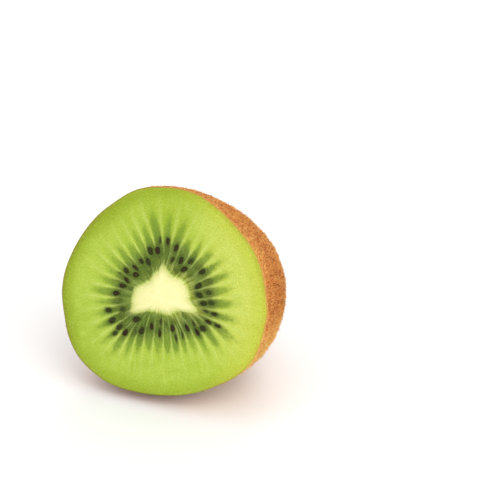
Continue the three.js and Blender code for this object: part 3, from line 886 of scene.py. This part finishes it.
def flesh_material():
    m = Nodes("flesh_moist")
    A = {k: m.attr(k) for k in ("core", "pocket", "wall", "fibre", "inner", "rays", "halo", "edge", "dist", "tone",
                                "depth", "fringe", "rimline", "lines", "corner", "wall_cos", "wall_sin", "cell")}
    plane, polar = m.attr("plane", True), m.attr("polar", True)
    sep = m.new("ShaderNodeSeparateXYZ")
    m.link(plane, sep.inputs[0])
    across, up = sep.outputs[0], sep.outputs[1]
    mul = lambda *x: x[0] if len(x) == 1 else m.math("MULTIPLY", x[0], mul(*x[1:]))
    big = m.noise(plane, 1.1, 2.0, 0.5)
    cloud = m.noise(plane, 2.6, 3.0, 0.55)
    mid = m.noise(plane, 6.5, 4.0, 0.6)
    grain = m.noise(plane, 22.0, 3.0, 0.6)
    fine = m.noise(plane, 42.0, 2.0, 0.6)
    streak = m.noise(polar, 2.4, 3.0, 0.6)
    thread = m.noise(polar, 7.5, 2.0, 0.6)
    # millimetres to the middle of the nearest wall
    to_wall = mul(m.math("ABSOLUTE", m.math("ARCTAN2", A["wall_sin"], A["wall_cos"])), A["cell"], 1 / (2 * math.pi))
    # outer flesh: yellower and brighter to the right, partly its own colour and partly painted light shining through
    # the skin on the right; deeper green above and at the lower left
    right = m.ramp(m.math("ADD", across, mul(up, 0.30)), 0.55, 2.1)
    col = m.mix(right, seen((179, 202, 77)), seen((214, 218, 103)))
    top = mul(m.ramp(up, 0.3, 2.3), m.ramp(across, 1.9, -0.2))
    col = m.mix(mul(top, 0.85), col, seen((166, 189, 57)))
    col = m.mix(mul(top, m.ramp(across, 0.2, -1.4), 0.70), col, seen((157, 181, 52)))
    above = mul(m.ramp(up, 1.15, 1.60), m.ramp(up, 2.35, 1.95), m.ramp(across, -0.90, -0.2), m.ramp(across, 0.85, 0.2))
    low = mul(m.ramp(up, -1.0, -2.4), m.ramp(across, 1.6, 0.0))
    col = m.mix(mul(low, 0.55), col, seen((165, 190, 66)))
    left_low = mul(m.ramp(across, -0.9, -2.0), m.ramp(up, 0.3, -0.8))
    col = m.mix(mul(left_low, 0.75), col, seen((162, 187, 69)))
    right_low = mul(m.ramp(across, 0.3, 1.3), m.ramp(up, -0.7, -1.7))
    col = m.mix(mul(right_low, 0.62), col, seen((180, 203, 72)))
    col = m.mix(mul(m.ramp(big, 0.36, 0.66), 0.32), col, seen((186, 209, 84)))
    col = m.mix(mul(m.ramp(cloud, 0.48, 0.74), 0.42), col, seen((166, 191, 60)))
    col = m.mix(mul(m.ramp(mid, 0.50, 0.74), 0.48), col, seen((198, 217, 100)))
    col = m.mix(mul(m.ramp(mid, 0.44, 0.26), 0.40), col, seen((162, 189, 58)))
    # paler ring outside the pockets, with rays that fade outward
    band = mul(m.ramp(A["dist"], 0.50, 0.68), m.ramp(A["dist"], 0.90, 0.72))
    col = m.mix(mul(band, 0.26), col, seen((194, 215, 92)))
    col = m.mix(mul(A["rays"], 0.34), col, m.mix(right, seen((206, 223, 114)), seen((224, 233, 128))))
    col = m.mix(mul(m.ramp(streak, 0.52, 0.70), band, 0.40), col, seen((162, 189, 60)))
    wisp = m.noise(polar, 1.5, 2.0, 0.55)
    col = m.mix(mul(m.ramp(wisp, 0.52, 0.68), m.ramp(A["dist"], 0.50, 0.66), m.ramp(A["dist"], 0.97, 0.82), 0.34), col,
                m.mix(right, seen((198, 217, 100)), seen((222, 230, 126))))
    col = m.mix(mul(above, 0.72), col, seen((160, 181, 46)))
    col = m.mix(mul(m.ramp(A["dist"], 0.66, 0.75), m.ramp(A["dist"], 0.91, 0.84), right, m.ramp(up, -0.6, 0.2), 0.34), col,
                seen((222, 231, 130)))
    # soft mottling low and to the left
    mottle = m.noise(plane, 4.4, 2.0, 0.5)
    low_left = m.math("MAXIMUM", m.ramp(up, -1.1, -1.7), mul(m.ramp(across, -0.9, -1.6), m.ramp(up, 0.8, 0.2)))
    col = m.mix(mul(m.ramp(mottle, 0.52, 0.68), low_left, 0.42), col, seen((196, 219, 96)))
    col = m.mix(mul(m.ramp(mottle, 0.48, 0.32), low_left, 0.42), col, seen((162, 188, 60)))
    # darker, olive edge by the skin, paler on the right: the side difference is partly painted shade and light
    rim_col = m.mix(right, m.mix(m.ramp(up, -1.2, -2.2), seen((147, 165, 49)), seen((157, 178, 56))), seen((200, 208, 74)))
    col = m.mix(mul(A["edge"], m.ramp(across, 0.4, -0.8, 0.66, 0.88)), col, rim_col)
    # darker at the upper left, partly painted shade on the side away from the light
    upper_left = mul(m.ramp(across, -0.9, -1.5), m.ramp(up, 0.9, 1.35), m.ramp(A["dist"], 0.74, 0.88))
    col = m.mix(mul(upper_left, 0.45), col, seen((146, 164, 46)))
    # the line along the skin: darker and browner on the left and below, paler on the right, partly painted shade and
    # painted light
    rim_shaded_side = m.mix(m.ramp(up, -1.3, -2.2), seen((134, 130, 48)), seen((152, 168, 60)))
    rim_shaded_side = m.mix(m.ramp(up, 1.5, 2.3), rim_shaded_side, seen((164, 172, 60)))
    rim_shaded_side = m.mix(mul(m.ramp(across, 0.3, 1.2), m.ramp(up, -1.0, -1.6)), rim_shaded_side, seen((170, 182, 70)))
    rim_lit_side = m.mix(m.ramp(up, 0.0, 1.3), seen((202, 184, 66)), seen((174, 166, 54)))
    col = m.mix(mul(A["rimline"], m.ramp(grain, 0.35, 0.6, 0.6, 0.9)), col, m.mix(right, rim_shaded_side, rim_lit_side))
    # pockets: deep green inside, fresher toward their tips, mottled
    pocket_a = m.mix(m.ramp(A["tone"], 0.0, 0.38), seen((80, 102, 51)), seen((110, 140, 54)))
    pocket_col = m.mix(m.ramp(A["tone"], 0.32, 0.95), pocket_a, seen((144, 173, 58)))
    pocket_col = m.mix(mul(m.ramp(mid, 0.44, 0.70), 0.30), pocket_col, seen((102, 130, 52)))
    pocket_col = m.mix(mul(m.ramp(grain, 0.52, 0.70), m.ramp(right, 0.0, 1.0, 0.26, 0.55)), pocket_col, seen((160, 178, 102)))
    pocket_col = m.mix(mul(m.ramp(fine, 0.50, 0.36), 0.46), pocket_col, seen((84, 110, 48)))
    pocket_col = m.mix(mul(m.ramp(thread, 0.54, 0.40), 0.32), pocket_col, seen((88, 116, 46)))
    pocket_col = m.mix(mul(m.ramp(thread, 0.56, 0.68), 0.24), pocket_col, seen((148, 174, 78)))
    pocket_col = m.mix(mul(m.ramp(to_wall, 0.85, 0.30), m.ramp(A["dist"], 0.62, 0.42), 0.28), pocket_col, seen((82, 110, 46)))
    # pale specks, stronger to the right: painted glints on the moist jelly; dark specks from the same noise
    sparkle = m.noise(plane, 52.0, 1.0, 0.5)
    pocket_col = m.mix(mul(m.ramp(sparkle, 0.54, 0.64), m.ramp(right, 0.0, 1.0, 0.22, 0.48)), pocket_col, seen((166, 184, 108)))
    pocket_col = m.mix(mul(m.ramp(sparkle, 0.47, 0.38), 0.34), pocket_col, seen((80, 104, 48)))
    # darkest round the seeds
    ring = mul(m.ramp(A["dist"], 0.38, 0.44), m.ramp(A["dist"], 0.57, 0.50),
               m.math("SUBTRACT", 1.0, mul(m.ramp(across, -0.3, -0.8), m.ramp(up, 0.1, 0.4))))
    pocket_col = m.mix(mul(ring, 0.26), pocket_col, seen((72, 92, 48)))
    # their edges and tips end in threads
    half = mul(A["pocket"], m.math("SUBTRACT", 1.0, A["pocket"]), 4.0)
    threaded = m.math("ADD", A["pocket"], mul(m.math("SUBTRACT", thread, 0.5), half, 1.7), clamp=True)
    col = m.mix(threaded, col, pocket_col)
    # zone beside the core: dark with fine paler fibres, lighter by the core and browner on the right
    dark = m.mix(m.ramp(cloud, 0.40, 0.66), seen((75, 94, 51)), seen((98, 117, 64)))
    dark = m.mix(mul(m.ramp(A["fibre"], 0.54, 1.0), 0.86), dark, seen((148, 163, 102)))
    dark = m.mix(mul(m.ramp(A["fibre"], 0.44, 0.10), 0.76), dark, seen((62, 80, 44)))
    dark = m.mix(mul(m.ramp(fine, 0.50, 0.38), 0.50), dark, seen((66, 84, 46)))
    dark = m.mix(mul(m.ramp(thread, 0.52, 0.38), 0.30), dark, seen((66, 86, 46)))
    dark = m.mix(mul(m.ramp(mid, 0.50, 0.74), 0.40), dark, seen((118, 138, 80)))
    dark = m.mix(mul(m.ramp(across, 0.50, 1.05), 0.42), dark, seen((116, 134, 72)))
    dark = m.mix(mul(m.ramp(across, -0.50, -0.95), m.ramp(up, 0.15, -0.25), 0.50), dark, seen((80, 101, 50)))
    dark = m.mix(mul(A["fringe"], 0.55), dark, m.mix(m.ramp(A["fibre"], 0.25, 0.85), seen((97, 115, 57)), seen((146, 160, 92))))
    warm = mul(m.ramp(across, -0.05, 0.45), A["fringe"], m.ramp(up, -0.85, -0.25))
    dark = m.mix(mul(warm, 0.85), dark, m.mix(m.ramp(A["fibre"], 0.22, 0.78), seen((140, 138, 54)), seen((192, 194, 108))))
    tip_warm = mul(A["fringe"], m.ramp(up, 0.42, 0.62), m.ramp(across, -0.40, -0.12))
    dark = m.mix(mul(tip_warm, 0.60), dark, m.mix(m.ramp(A["fibre"], 0.25, 0.80), seen((122, 128, 56)), seen((176, 182, 104))))
    left_warm = mul(A["fringe"], m.ramp(across, 0.0, -0.30), m.ramp(up, -0.15, 0.15))
    dark = m.mix(mul(left_warm, 0.28), dark, m.mix(m.ramp(A["fibre"], 0.25, 0.80), seen((118, 130, 60)), seen((174, 182, 106))))
    deeper = m.math("MAXIMUM", mul(m.ramp(across, 0.25, -0.15), m.ramp(up, 0.30, 0.65)),
                    mul(m.ramp(up, -0.45, -0.62), m.ramp(up, -1.20, -0.95)))
    dark = m.mix(mul(deeper, m.ramp(A["fibre"], 1.0, 0.35), 0.60), dark, seen((64, 82, 43)))
    dark = m.mix(mul(ring, 0.22), dark, seen((70, 88, 46)))
    col = m.mix(mul(A["inner"], 0.88), col, dark)
    # walls between the pockets
    wall_col = m.mix(m.ramp(A["dist"], 0.36, 0.56), seen((154, 168, 98)), seen((202, 218, 114)))
    wall_col = m.mix(mul(m.ramp(grain, 0.45, 0.7), 0.45), wall_col, seen((172, 190, 96)))
    col = m.mix(mul(A["wall"], 0.50), col, wall_col)
    line_col = m.mix(m.ramp(A["dist"], 0.34, 0.60), seen((178, 188, 122)), seen((218, 230, 136)))
    spread = mul(to_wall, m.ramp(A["dist"], 0.42, 0.78, 1.0, 0.40), m.ramp(m.math("ADD", across, up), 0.6, 2.0, 1.0, 0.72))
    line = mul(m.ramp(spread, 0.31, 0.02), A["lines"], m.ramp(mid, 0.34, 0.56, 0.35, 1.0), m.ramp(grain, 0.30, 0.52, 0.6, 1.0))
    col = m.mix(mul(line, m.ramp(A["dist"], 0.50, 0.80, 0.72, 0.52)), col, line_col)
    # jelly darkened round the seeds
    col = m.mix(mul(A["halo"], m.ramp(grain, 0.25, 0.55, 0.84, 1.0)), col, seen((60, 74, 43)))
    # core: cream, a little greener and greyer toward its frayed edge
    leftward = m.ramp(across, -0.05, -0.55)
    edge_core = m.mix(m.ramp(mid, 0.40, 0.68), seen((196, 203, 120)), seen((216, 220, 140)))
    edge_core = m.mix(mul(m.ramp(across, 0.25, 0.60), 0.60), edge_core, seen((226, 226, 146)))
    core_col = m.mix(m.ramp(A["depth"], 0.0, 0.48), edge_core, m.mix(leftward, seen((241, 239, 171)), seen((231, 231, 161))))
    core_col = m.mix(m.ramp(A["depth"], 0.34, 0.95), core_col, m.mix(leftward, seen((254, 250, 189)), seen((241, 239, 174))))
    core_col = m.mix(mul(m.ramp(grain, 0.50, 0.74), 0.40), core_col, seen((236, 233, 160)))
    corner_col = m.mix(m.ramp(m.math("ADD", grain, m.math("MULTIPLY", thread, 0.6)), 0.62, 0.92), seen((166, 176, 94)), seen((212, 215, 138)))
    core_col = m.mix(mul(A["corner"], 0.85), core_col, corner_col)
    frayed = m.ramp(m.math("ADD", A["core"], m.math("MULTIPLY", m.math("SUBTRACT", fine, 0.5), 0.50)), 0.10, 0.86)
    col = m.mix(frayed, col, core_col)
    # fine grain over everything
    flecks = m.noise(plane, 30.0, 1.0, 0.5)
    dark_zone = m.math("MAXIMUM", A["pocket"], A["inner"])
    calm = m.ramp(dark_zone, 0.0, 1.0, 1.0, 0.25)
    col = m.mix(mul(m.ramp(flecks, 0.50, 0.64), calm, 0.38), col, m.mix(A["core"], seen((148, 176, 42)), seen((238, 233, 156))))
    col = m.mix(mul(m.ramp(fine, 0.50, 0.58), calm, 0.38), col, m.mix(A["core"], seen((150, 180, 46)), seen((238, 233, 156))))
    col = m.mix(mul(m.ramp(grain, 0.49, 0.36), calm, 0.26), col, m.mix(A["core"], seen((206, 223, 118)), seen((255, 254, 196))))
    # the finest sparkle of cells
    cell_grain = m.noise(plane, 62.0, 1.0, 0.5)
    col = m.mix(mul(m.ramp(cell_grain, 0.52, 0.60), 0.36), col,
                m.mix(A["core"], m.mix(right, seen((150, 178, 46)), seen((196, 198, 60))), seen((232, 228, 160))))
    col = m.mix(mul(m.ramp(cell_grain, 0.48, 0.40), calm, m.ramp(mul(A["edge"], m.ramp(right, 1.0, 0.0)), 0.0, 1.0, 0.33, 0.10)), col,
                m.mix(A["core"], seen((210, 227, 118)), seen((255, 253, 200))))
    # a few faint green spots low on the face
    blot = m.voronoi(plane, 3.1)
    col = m.mix(mul(m.ramp(blot, 0.14, 0.04), m.ramp(up, -1.3, -1.8), 0.34), col, seen((140, 172, 56)))
    # a scatter of ochre specks toward the right rim
    ochre = m.voronoi(plane, 24.0)
    col = m.mix(mul(m.ramp(ochre, 0.30, 0.12), A["edge"], right, 0.60), col, seen((222, 186, 84)))
    m.link(col, m.bsdf.inputs["Base Color"])
    rough = m.mix(A["core"], m.mix(A["pocket"], (0.46, 0.46, 0.46, 1), (0.34, 0.34, 0.34, 1)), (0.58, 0.58, 0.58, 1))
    rough = m.mix(mul(m.ramp(grain, 0.4, 0.7), 0.35), rough, (0.62, 0.62, 0.62, 1))
    m.link(rough, m.bsdf.inputs["Roughness"])
    cells = m.voronoi(plane, 30.0, "SMOOTH_F1")
    normal = m.bumps([
        (m.noise(plane, 14.0, 4.0, 0.6), 0.40, 0.00025),
        (cells, 0.32, 0.00012),
        (grain, 0.40, 0.00009),
    ])
    m.link(normal, m.bsdf.inputs["Normal"])
    b = m.bsdf.inputs
    b["Subsurface Weight"].default_value = 0.15
    b["Subsurface Radius"].default_value = (0.9, 1.0, 0.35)
    b["Subsurface Scale"].default_value = 0.0007
    b["IOR"].default_value = 1.38
    b["Specular IOR Level"].default_value = 0.28
    return m.mat


def skin_material():
    m = Nodes("skin_brown")
    plane, polar = m.attr("plane", True), m.attr("polar", True)
    relief = m.attr("relief")
    cut = m.attr("cut")
    share = m.attr("share")
    s_ring, s_groove_shade, s_button, s_crater, s_knot = (m.attr("scar_" + k) for k in ("ring", "dark", "button", "crater", "knot"))
    mul = lambda *x: x[0] if len(x) == 1 else m.math("MULTIPLY", x[0], mul(*x[1:]))
    big = m.noise(plane, 0.9, 3.0, 0.55)
    patch = m.noise(plane, 2.1, 3.0, 0.6)
    mid = m.noise(plane, 7.0, 4.0, 0.6)
    fine = m.noise(plane, 32.0, 3.0, 0.6)
    sep = m.new("ShaderNodeSeparateXYZ")
    m.link(plane, sep.inputs[0])
    across, up, behind = sep.outputs[0], sep.outputs[1], sep.outputs[2]
    # tan ground with pinker and more olive patches
    col = m.mix(m.ramp(big, 0.36, 0.66), seen_skin((202, 124, 60)), seen_skin((214, 139, 72)))
    col = m.mix(mul(m.ramp(patch, 0.48, 0.70), 0.55), col, seen_skin((199, 125, 60)))
    col = m.mix(mul(m.ramp(mid, 0.42, 0.72), 0.50), col, seen_skin((223, 161, 84)))
    col = m.mix(mul(m.ramp(fine, 0.50, 0.75), 0.42), col, seen_skin((184, 104, 48)))
    specks = m.voronoi(plane, 13.0)
    col = m.mix(mul(m.ramp(specks, 0.22, 0.08), 0.55), col, seen_skin((238, 174, 106)))
    pores = m.voronoi(plane, 21.0)
    col = m.mix(mul(m.ramp(pores, 0.24, 0.06), 0.45), col, seen_skin((158, 84, 40)))
    rust = m.voronoi(plane, 9.0)
    col = m.mix(mul(m.ramp(rust, 0.16, 0.07), 0.70), col, seen_skin((204, 98, 44)))
    # darker where the skin's relief dips: painted shade in the hollows of the wrinkles
    col = m.mix(mul(m.ramp(relief, -0.02, -0.14), 0.40), col, seen_skin((150, 84, 42)))
    # a paler, more orange band where the knife pulled the skin, painted lighter on the lit side and darker on the
    # shaded side
    # lit: lighter toward the right and up; the band, edge and cut colours below each have a lit and a shaded copy,
    # painted light and painted shade
    lit = m.ramp(m.math("ADD", across, mul(up, 0.5)), -0.2, 1.4)
    band = m.ramp(behind, 0.36, 0.06)
    band_col = m.mix(lit, seen_skin((172, 130, 60)), seen_skin((194, 142, 68)))
    col = m.mix(mul(band, m.ramp(mid, 0.34, 0.58, 0.45, 0.95)), col, band_col)
    edge = m.ramp(behind, 0.14, 0.04)
    col = m.mix(mul(edge, 0.80), col, m.mix(lit, seen_skin((148, 140, 58)), seen_skin((188, 138, 64))))
    # lighter and yellower low on the right, partly painted light to brighten skin that faces down and gets less light
    low = mul(m.ramp(up, 0.2, -1.2), m.ramp(across, 0.2, 1.4), m.ramp(behind, 2.6, 0.8, 0.35, 1.0))
    col = m.mix(mul(low, 0.80), col, seen_skin((238, 190, 110)))
    # stem scar
    scar_noise = m.noise(plane, 11.0, 4.0, 0.65)
    col = m.mix(mul(s_crater, 0.50), col, seen_skin((158, 84, 38)))
    button_col = m.mix(m.ramp(scar_noise, 0.38, 0.66), seen_skin((140, 68, 32)), seen_skin((190, 104, 58)))
    col = m.mix(mul(s_button, 0.75), col, button_col)
    ring_col = m.mix(m.ramp(scar_noise, 0.36, 0.64), seen_skin((188, 108, 66)), seen_skin((222, 158, 128)))
    col = m.mix(mul(s_ring, 0.80), col, ring_col)
    # near-black in the scar's grooves and hooked furrow: painted shade
    col = m.mix(mul(s_groove_shade, 0.92), col, seen_skin((82, 36, 16)))
    col = m.mix(mul(s_knot, 0.75), col, m.mix(m.ramp(m.noise(plane, 30.0, 3.0), 0.4, 0.65), seen_skin((176, 112, 62)), seen_skin((218, 172, 112))))
    # cut edge, painted lighter on the lit side and darker on the shaded side
    cut_col = m.mix(m.ramp(mid, 0.4, 0.65), m.mix(lit, seen_skin((144, 142, 56)), seen_skin((192, 150, 80))),
                    m.mix(lit, seen_skin((152, 138, 58)), seen_skin((194, 140, 76))))
    below = mul(m.ramp(up, -0.7, -1.5), m.ramp(across, 0.2, 1.0))
    cut_col = m.mix(mul(below, 0.75), cut_col, seen_skin((168, 172, 74)))
    col = m.mix(mul(cut, 0.95), col, cut_col)
    m.link(col, m.bsdf.inputs["Base Color"])
    m.link(m.mix(m.ramp(mid, 0.35, 0.7), (0.78, 0.78, 0.78, 1), (0.92, 0.92, 0.92, 1)), m.bsdf.inputs["Roughness"])
    normal = m.bumps([
        (mid, 0.45, 0.0003),
        (pores, 0.35, 0.00018),
        (fine, 0.45, 0.00012),
    ])
    m.link(normal, m.bsdf.inputs["Normal"])
    b = m.bsdf.inputs
    b["Specular IOR Level"].default_value = 0.20
    b["Sheen Weight"].default_value = 0.10
    b["Sheen Roughness"].default_value = 0.5
    b["Sheen Tint"].default_value = (1.0, 0.8, 0.62, 1)
    return m.mat


def seed_material():
    m = Nodes("seed_dark")
    coord = m.new("ShaderNodeTexCoord").outputs["Object"]
    shade, crown, veil = m.attr("shade"), m.attr("crown"), m.attr("veil")
    n = m.noise(coord, 2600.0, 3.0, 0.6)
    spots = m.noise(coord, 1500.0, 2.0, 0.5)
    dark = lambda c: seen(c, FACE_LIGHT, 0.009)
    # olive seeds and browner ones, each with a few red-brown patches and a paler fleck or two, the flecks painted
    # glints
    top = m.mix(m.ramp(shade, 0.20, 0.70), dark((57, 44, 28)), dark((56, 60, 34)))
    top = m.mix(m.math("MULTIPLY", m.ramp(spots, 0.60, 0.70), 0.60), top, dark((72, 38, 26)))
    top = m.mix(m.math("MULTIPLY", m.ramp(spots, 0.46, 0.38), 0.55), top, dark((58, 68, 38)))
    col = m.mix(m.ramp(crown, 0.35, 0.95), dark((50, 62, 34)), top)
    # paler flecks: painted glints on the moist seed coat
    col = m.mix(m.math("MULTIPLY", m.ramp(n, 0.66, 0.76), 0.60), col, dark((110, 108, 74)))
    col = m.mix(m.math("MULTIPLY", m.ramp(veil, 0.05, 0.55), 0.80), col, dark((70, 82, 44)))
    m.link(col, m.bsdf.inputs["Base Color"])
    m.link(m.ramp(n, 0.3, 0.7, 0.28, 0.42), m.bsdf.inputs["Roughness"])
    m.link(m.bumps([(m.voronoi(coord, 3800.0), 0.3, 0.00006)]), m.bsdf.inputs["Normal"])
    m.bsdf.inputs["Specular IOR Level"].default_value = 0.10
    return m.mat


def fuzz_material(name, rust, tan, straw, tip):
    m = Nodes(name)
    shade, along = m.attr("shade"), m.attr("along")
    col = m.mix(m.ramp(shade, 0.12, 0.38), seen_skin(rust), seen_skin(tan))
    col = m.mix(m.ramp(shade, 0.38, 0.70), col, seen_skin(straw))
    col = m.mix(m.math("MULTIPLY", m.ramp(along, 0.2, 1.0), 0.45), col, seen_skin(tip))
    # palest stop, reached mostly by hairs low on the right: painted light there
    col = m.mix(m.ramp(shade, 0.72, 1.02), col, seen_skin((252, 212, 128)))
    m.link(col, m.bsdf.inputs["Base Color"])
    m.link(m.ramp(shade, 0.0, 1.0, 0.55, 0.75), m.bsdf.inputs["Roughness"])
    m.bsdf.inputs["Specular IOR Level"].default_value = 0.25
    return m.mat


# ---- put it together --------------------------------------------------------------------------
flesh = make_flesh()
flesh.data.materials.append(flesh_material())
skin = make_skin()
skin.data.materials.append(skin_material())
seeds = make_seeds()
seeds.data.materials.append(seed_material())


def no_scar(share, phi):
    r = share * FACE_RADIUS
    return 0.25 + 0.75 * smooth(5.5, 8.0, r)


tufts = make_tufts(10500, 400)
down = make_hairs("fuzz_down", 40000, (0.35, 0.85), 0.034, (12, 50), 401, tufts, density=no_scar, gather=0.20, bent=False)
down.data.materials.append(fuzz_material("fuzz_down", (170, 86, 40), (206, 124, 60), (226, 161, 84), (228, 166, 88)))
coat = make_hairs("fuzz_coat", 48500, (0.6, 1.3), 0.048, (8, 42), 402, tufts, density=no_scar, gather=0.24, bent=False)
coat.data.materials.append(fuzz_material("fuzz_coat", (158, 73, 33), (206, 119, 56), (233, 170, 89), (235, 175, 94)))
bristle = make_hairs("fuzz_bristle", 19400, (1.0, 1.9), 0.078, (6, 32), 403, tufts, density=no_scar, spread=0.55, gather=0.24, stray=0.035)
bristle.data.materials.append(fuzz_material("fuzz_bristle", (148, 64, 28), (206, 115, 53), (240, 180, 96), (240, 184, 100)))

for piece, slot in ((flesh, "flesh"), (skin, "skin"), (seeds, "seed"), (down, "fuzz"), (coat, "fuzz"), (bristle, "fuzz")):
    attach(piece, "root")
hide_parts("fruit_half")
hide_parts("fruit_half")

# ---- camera, floor and light ------------------------------------------------------------------
AZ, EL = math.radians(24.294), math.radians(25.004)
fwd = Vector((-math.sin(AZ) * math.cos(EL), math.cos(AZ) * math.cos(EL), -math.sin(EL)))
side = Vector((math.cos(AZ), math.sin(AZ), 0))
upv = side.cross(fwd)
eye = Vector((173.946, -334.338, 187.452)) * 0.001 + Vector(FACE_CENTRE) * 0.001
cam_data = bpy.data.cameras.new("camera")
cam_data.sensor_width = 36.0
cam_data.lens = 1777.04 / 500 * 36
cam_data.clip_start = 0.01
camera = bpy.data.objects.new("camera", cam_data)
camera.matrix_world = Matrix((
    (side.x, upv.x, -fwd.x, eye.x), (side.y, upv.y, -fwd.y, eye.y), (side.z, upv.z, -fwd.z, eye.z), (0, 0, 0, 1)))
bpy.context.scene.collection.objects.link(camera)
bpy.context.scene.camera = camera

floor_me = bpy.data.meshes.new("floor")
floor_me.from_pydata([(-3, -3, -0.00005), (3, -3, -0.00005), (3, 3, -0.00005), (-3, 3, -0.00005)], [], [(0, 1, 2, 3)])
floor = bpy.data.objects.new("floor", floor_me)
bpy.context.scene.collection.objects.link(floor)
fl = Nodes("floor_pale")
fl_coord = fl.new("ShaderNodeTexCoord").outputs["Object"]
fl.link(fl.mix(fl.ramp(fl.noise(fl_coord, 3.0), 0.3, 0.7), (0.885, 0.885, 0.88, 1), (0.905, 0.905, 0.90, 1)), fl.bsdf.inputs["Base Color"])
fl.bsdf.inputs["Roughness"].default_value = 0.7
fl.bsdf.inputs["Specular IOR Level"].default_value = 0.2
floor_me.materials.append(fl.mat)


def area_light(name, at, target, size, power, color=(1, 1, 1)):
    data = bpy.data.lights.new(name, "AREA")
    data.shape = "DISK"
    data.size = size
    data.energy = power
    data.color = color
    obj = bpy.data.objects.new(name, data)
    obj.location = at
    obj.rotation_euler = (Vector(target) - Vector(at)).to_track_quat("-Z", "Y").to_euler()
    bpy.context.scene.collection.objects.link(obj)
    return obj


MID = (0.0, 0.0, 0.024)
area_light("key", (0.42, -0.42, 0.62), MID, 0.45, 1.8, (1.0, 0.985, 0.96))
area_light("fill", (-0.55, -0.50, 0.35), MID, 0.60, 0.35, (0.98, 0.99, 1.0))
area_light("side", (0.75, -0.10, 0.30), MID, 0.50, 2.0, (1.0, 0.99, 0.97))
area_light("back", (-0.20, 0.65, 0.50), MID, 0.50, 1.4, (1.0, 0.98, 0.95))

world = bpy.data.worlds.new("world")
world.use_nodes = True
world.node_tree.nodes["Background"].inputs[0].default_value = (1.0, 1.0, 1.0, 1)
world.node_tree.nodes["Background"].inputs[1].default_value = 0.92
bpy.context.scene.world = world

scene = bpy.context.scene
scene.view_settings.view_transform = "Standard"
scene.view_settings.look = "None"
scene.view_settings.exposure = 0.0
scene.view_settings.gamma = 1.0

bpy.context.view_layer.update()
